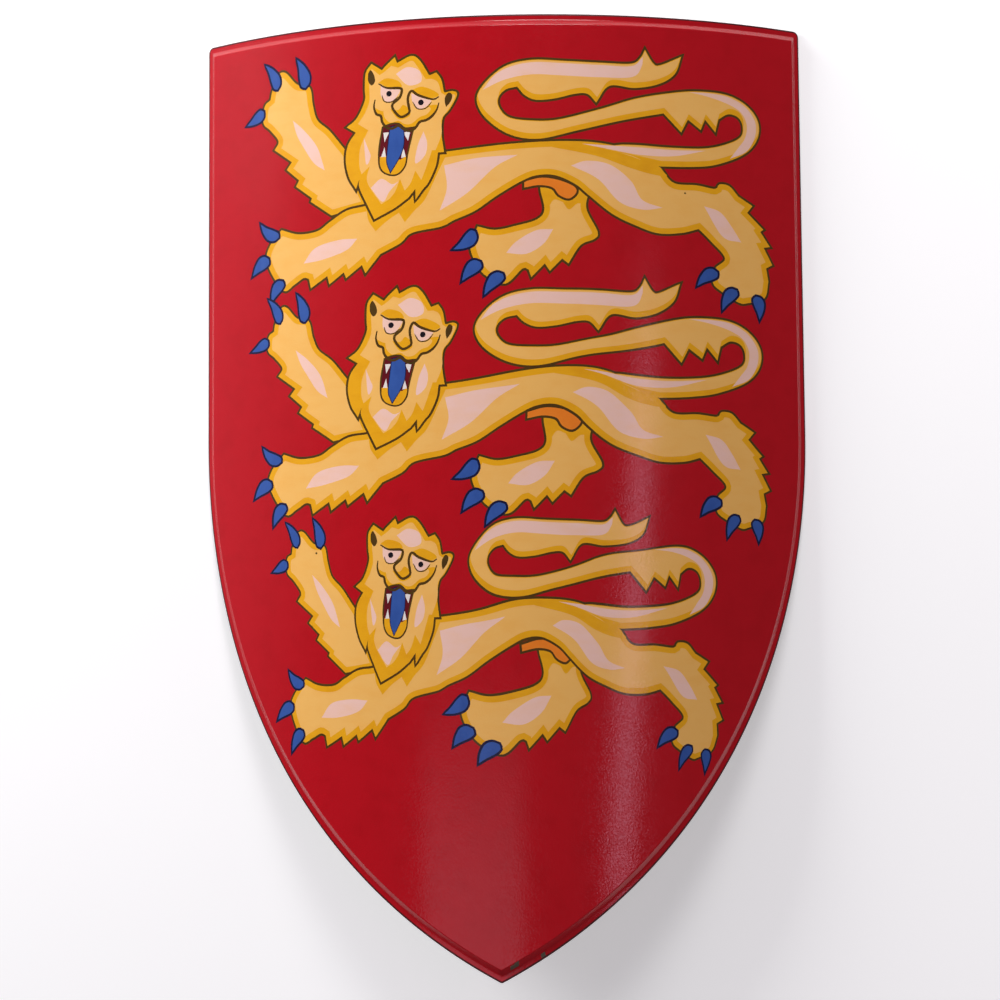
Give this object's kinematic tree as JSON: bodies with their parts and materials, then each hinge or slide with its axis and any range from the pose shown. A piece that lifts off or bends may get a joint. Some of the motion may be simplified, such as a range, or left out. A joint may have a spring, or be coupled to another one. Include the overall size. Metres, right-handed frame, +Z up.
{
  "type": "heater shield",
  "caption": "Curved, pointed steel heater shield with a stepped rim, a painted front with three lions, and two leather arm straps behind.",
  "frame": {"origin": "on the floor, under the middle of the shield as it lies with its painted face up", "axes": "+Z up, out of the painted face; +Y from the point to the top edge; +X towards the arm strap's side"},
  "size_m": [0.5, 0.778, 0.0805],
  "materials": {
    "painted_sheet": "glossy enamel over steel",
    "loop_steel": "plain",
    "strap_leather": "oiled, with cut edges",
    "rivet_brass": "dull"
  },
  "bodies": {
    "root": {"shield_plate": "painted_sheet", "arm_strap": "strap_leather", "arm_loop_lower": "loop_steel", "arm_rivet_lower_left": "rivet_brass", "arm_rivet_lower_right": "rivet_brass", "arm_loop_upper": "loop_steel", "arm_rivet_upper_left": "rivet_brass", "arm_rivet_upper_right": "rivet_brass", "hand_strap": "strap_leather", "hand_loop_lower": "loop_steel", "hand_rivet_lower_left": "rivet_brass", "hand_rivet_lower_right": "rivet_brass", "hand_loop_upper": "loop_steel", "hand_rivet_upper_left": "rivet_brass", "hand_rivet_upper_right": "rivet_brass"}
  },
  "joints": []
}
